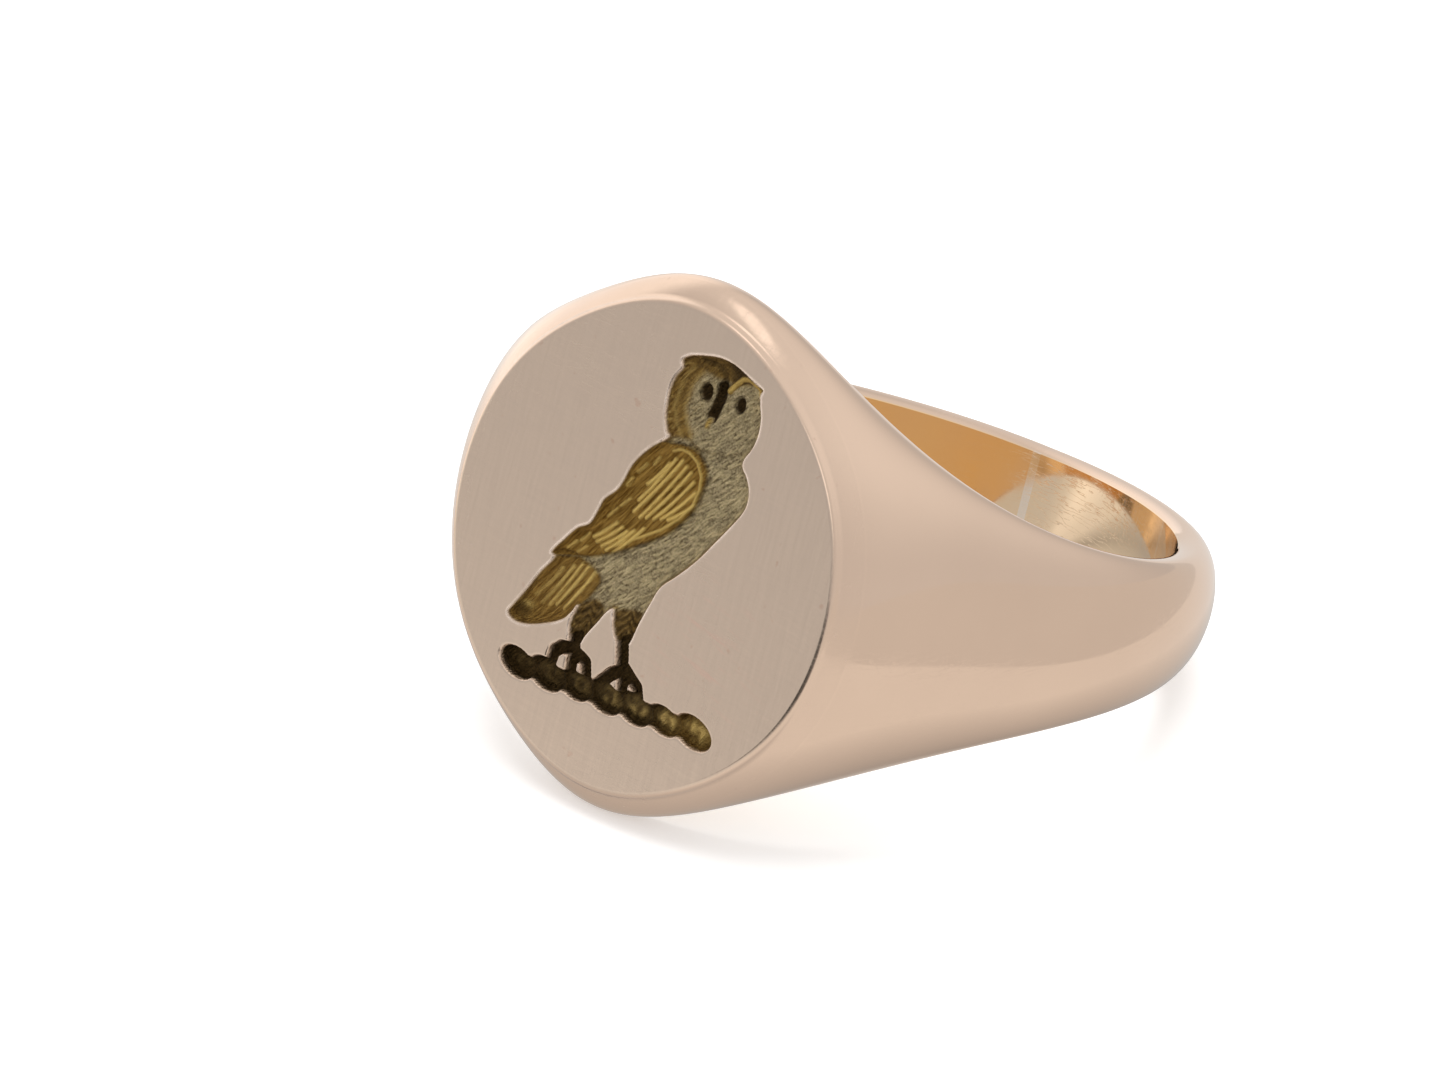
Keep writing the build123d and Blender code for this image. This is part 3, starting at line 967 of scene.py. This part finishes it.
# ---- stage ----------------------------------------------------------------------------
def flat_disc(name, radius, height, count=128):
    """Round flat sheet centred under the ring."""
    angles = np.linspace(0, 2 * math.pi, count, endpoint=False)
    points = [(radius * math.cos(a), radius * math.sin(a), height) for a in angles]
    mesh = bpy.data.meshes.new(name)
    mesh.from_pydata(points, [], [tuple(range(count))])
    sheet = bpy.data.objects.new(name, mesh)
    bpy.context.scene.collection.objects.link(sheet)
    return sheet


STAGE_RADIUS = 1.2
CARD_HEIGHT = 0.00003

floor = flat_disc("studio_floor", STAGE_RADIUS, 0.0)
paper = Nodes("white_paper")
fibre = paper.remap(paper.noise(900, 4), 0.3, 0.7, 0.0, 1.0)
paper.link(paper.mix(fibre, (0.93, 0.93, 0.93), (0.95, 0.95, 0.95)), paper.shader.inputs["Base Color"])
paper.shader.inputs["Roughness"].default_value = 0.9
paper.shader.inputs["Specular IOR Level"].default_value = 0.1
paper.shader.inputs["Emission Color"].default_value = (1.0, 1.0, 1.0, 1)
paper.shader.inputs["Emission Strength"].default_value = 0.32
floor.data.materials.append(paper.material)


def only_reflected(sheet):
    """A card that lights nothing and shows only in the polished metal."""
    sheet.visible_camera = False
    sheet.visible_diffuse = False
    sheet.visible_shadow = False
    sheet.visible_transmission = False
    sheet.visible_volume_scatter = False


card = flat_disc("floor_reflection_card", STAGE_RADIUS, CARD_HEIGHT)
only_reflected(card)
card_kit = Nodes("floor_reflection_card")
card_kit.tree.nodes.remove(card_kit.shader)
length = card_kit.add("ShaderNodeVectorMath", operation="LENGTH")
card_kit.link(card_kit.place, length.inputs[0])
radius = length.outputs["Value"]


def card_reach(azimuth):
    """How far a place on the card lies from the ring towards an azimuth."""
    node = card_kit.add("ShaderNodeVectorMath", operation="DOT_PRODUCT")
    card_kit.link(card_kit.place, node.inputs[0])
    turn = math.radians(azimuth)
    node.inputs[1].default_value = (math.sin(turn), -math.cos(turn), 0)
    return node.outputs["Value"]


def card_sector(azimuth, low, high, first, last, amount):
    """An amount on the part of the card towards an azimuth, fading in with distance."""
    facing = card_kit.math("DIVIDE", card_reach(azimuth), card_kit.math("ADD", radius, 0.001))
    turned = card_kit.remap(facing, low, high, 0.0, 1.0)
    return card_kit.math("MULTIPLY", turned, card_kit.remap(radius, first, last, 0.0, amount))


# painted brightness of the floor as the metal sees it: a paper edge on the right, a painted contact shadow
# of the ring, a painted bright patch under the bore, and darker and lighter sides
paper_edge = card_kit.remap(card_reach(110), 0.0186, 0.0189, 0.85, 0.72)
painted_contact_shadow = card_kit.remap(radius, 0.0095, 0.0145, 0.52, 0.95)
under = card_kit.remap(radius, 0.0075, 0.0092, 0.20, 0.0)
near_gap = card_sector(10, 0.87, 0.93, 0.020, 0.035, 1.0)
near_gap = card_kit.math("MULTIPLY", near_gap, card_kit.remap(radius, 0.05, 0.10, 0.88, 0.2))
far_gap = card_sector(5, 0.92, 0.956, 0.022, 0.04, 0.88)
lit = card_kit.math("SUBTRACT", 1.0, card_kit.math("MAXIMUM", near_gap, far_gap))
front = card_sector(-32, 0.75, 0.95, 0.03, 0.10, 0.12)
backdrop = card_sector(-90, 0.70, 0.92, 0.02, 0.05, 0.42)
light = card_kit.math("MULTIPLY", card_kit.math("MULTIPLY", paper_edge, painted_contact_shadow), lit)
light = card_kit.math("ADD", card_kit.math("SUBTRACT", light, front), card_kit.math("ADD", backdrop, under))
glow = card_kit.add("ShaderNodeEmission")
glow.inputs["Color"].default_value = (1.0, 0.985, 0.96, 1)
card_kit.link(light, glow.inputs["Strength"])
output = next(n for n in card_kit.tree.nodes if n.type == "OUTPUT_MATERIAL")
card_kit.link(glow.outputs[0], output.inputs["Surface"])
card.data.materials.append(card_kit.material)

# ---- soft surrounding light --------------------------------------------------------------
world = bpy.data.worlds.new("studio")
bpy.context.scene.world = world
world.use_nodes = True
sky = world.node_tree
background = sky.nodes["Background"]
direction = sky.nodes.new("ShaderNodeTexCoord").outputs["Generated"]


def sky_math(operation, a, b):
    node = sky.nodes.new("ShaderNodeMath")
    node.operation = operation
    for value, socket in ((a, node.inputs[0]), (b, node.inputs[1])):
        if isinstance(value, (int, float)):
            socket.default_value = value
        else:
            sky.links.new(value, socket)
    return node.outputs[0]


def sky_range(source, low, high, to_low, to_high, blend="LINEAR"):
    """Remap a value, clamped at both ends."""
    node = sky.nodes.new("ShaderNodeMapRange")
    node.interpolation_type = blend
    for key, value in zip(("From Min", "From Max", "To Min", "To Max"), (low, high, to_low, to_high)):
        node.inputs[key].default_value = value
    sky.links.new(source, node.inputs["Value"])
    return node.outputs["Result"]


def sky_spot(azimuth, elevation, inner, outer, amount):
    """An amount inside an angle round a direction, none outside, soft between."""
    a, e = math.radians(azimuth), math.radians(elevation)
    dot = sky.nodes.new("ShaderNodeVectorMath")
    dot.operation = "DOT_PRODUCT"
    sky.links.new(direction, dot.inputs[0])
    dot.inputs[1].default_value = (math.sin(a) * math.cos(e), -math.cos(a) * math.cos(e), math.sin(e))
    edge, core = math.cos(math.radians(outer)), math.cos(math.radians(inner))
    return sky_range(dot.outputs["Value"], edge, core, 0.0, amount, "SMOOTHSTEP")


SKY_STRENGTH = 0.595
SKY_PARTS = (  # azimuth, elevation, inner and outer angle in degrees, added strength
    (100, 5, 10, 85, 0.09),      # wall on the right
    (140, 75, 10, 75, 0.22),     # ceiling bounce behind the ring
    (-50, 80, 10, 12.5, 0.52),   # overhead softbox
    (-108, 8, 24, 50, 0.52),     # bright backdrop on the left
    (10, 30, 8, 14, 0.50),       # lit ceiling above the gap
)
total = SKY_STRENGTH
for part in SKY_PARTS:
    total = sky_math("ADD", sky_spot(*part), total)

# dark gap between the lights, low down in front of the ring
height = sky.nodes.new("ShaderNodeSeparateXYZ")
sky.links.new(direction, height.inputs[0])
low_down = sky_range(height.outputs["Z"], 0.06, 0.10, 1.0, 0.0)
dark_gap = sky_math("MULTIPLY", sky_spot(5, -3, 17, 23, 0.57), low_down)
total = sky_math("SUBTRACT", total, dark_gap)
sky.links.new(total, background.inputs["Strength"])
background.inputs["Color"].default_value = (1.0, 1.0, 1.0, 1)

softbox = bpy.data.lights.new("overhead_softbox", "AREA")
softbox.shape = "DISK"
softbox.size = 0.5
softbox.energy = 2.1
softbox_object = bpy.data.objects.new("overhead_softbox", softbox)
softbox_object.location = (-0.05, 0.05, 0.6)
softbox_object.visible_glossy = False
bpy.context.scene.collection.objects.link(softbox_object)

# ---- camera ---------------------------------------------------------------------------------
VIEW_AZIMUTH = 37.65
VIEW_ELEVATION = 29.27
VIEW_ROLL = 2.49
VIEW_DISTANCE = 0.18016
VIEW_TARGET = Vector((-0.00278, -0.00166, 0.00373))
VIEW_LENS = 157.64
a, e = math.radians(VIEW_AZIMUTH), math.radians(VIEW_ELEVATION)
back = Vector((math.sin(a) * math.cos(e), -math.cos(a) * math.cos(e), math.sin(e)))
level = Vector((math.cos(a), math.sin(a), 0))
up = back.cross(level)
roll = math.radians(VIEW_ROLL)
right = level * math.cos(roll) + up * math.sin(roll)
top = up * math.cos(roll) - level * math.sin(roll)
camera = bpy.data.cameras.new("camera")
camera.lens = VIEW_LENS
camera.sensor_width = 36.0
camera.clip_start = 0.01
view = bpy.data.objects.new("camera", camera)
aim = Matrix((right, top, back)).transposed().to_4x4()
view.matrix_world = Matrix.Translation(VIEW_TARGET + back * VIEW_DISTANCE) @ aim
bpy.context.scene.collection.objects.link(view)
bpy.context.scene.camera = view
bpy.context.scene.view_settings.view_transform = "Standard"
